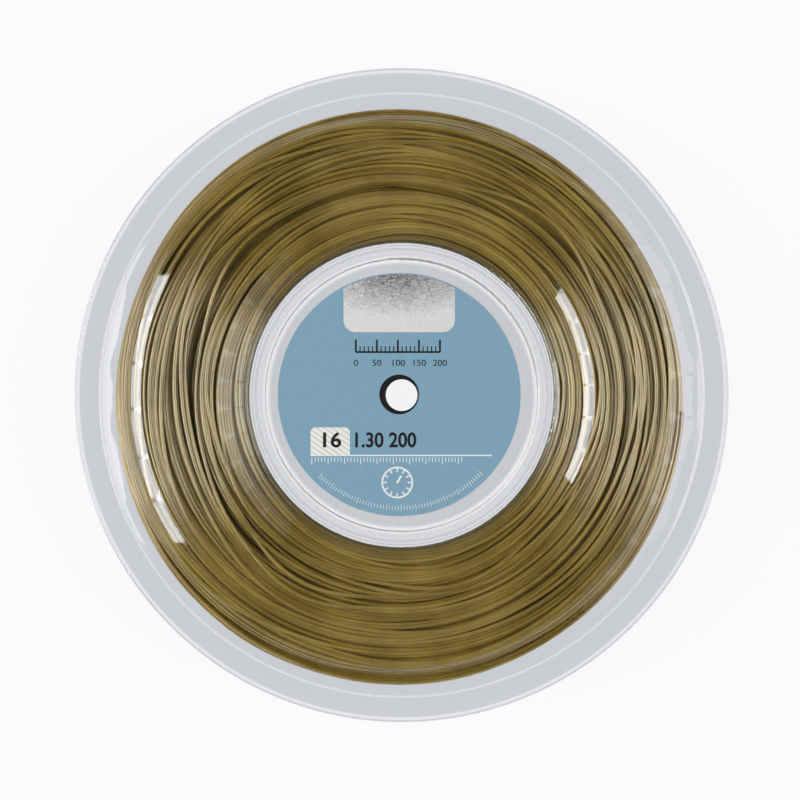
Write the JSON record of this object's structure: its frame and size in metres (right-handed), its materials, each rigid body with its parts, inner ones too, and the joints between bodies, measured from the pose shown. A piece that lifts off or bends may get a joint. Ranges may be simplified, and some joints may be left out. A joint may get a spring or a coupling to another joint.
{
  "type": "string reel",
  "caption": "Clear flanged plastic reel wound full with racket string, with a round paper label in the recessed hub and a black bush for a spindle.",
  "frame": {"origin": "on the spindle axis, in the plane that the rear rim rests on", "axes": "+Z along the spindle axis, out of the label face; +Y towards the top of the label, +X to its right"},
  "size_m": [0.2, 0.2, 0.032],
  "materials": {
    "clear_plastic": "clear injection-moulded polystyrene, polished, the rims very slightly satin",
    "black_plastic": "plain black moulded plastic with a faint sheen",
    "golden_string": "golden-olive extruded polyester monofilament, glossy",
    "blue_paper": "grey-blue printed label paper, lightly textured",
    "white_paper": "plain white label paper",
    "silver_foil": "grained silver foil on paper"
  },
  "bodies": {
    "root": {"front_half": "clear_plastic", "rear_half": "clear_plastic", "centre_bush": "black_plastic", "string_winding": "golden_string", "front_label": "blue_paper", "rear_label": "white_paper", "foil_patch": "silver_foil", "gauge_tab": "silver_foil"}
  },
  "joints": []
}
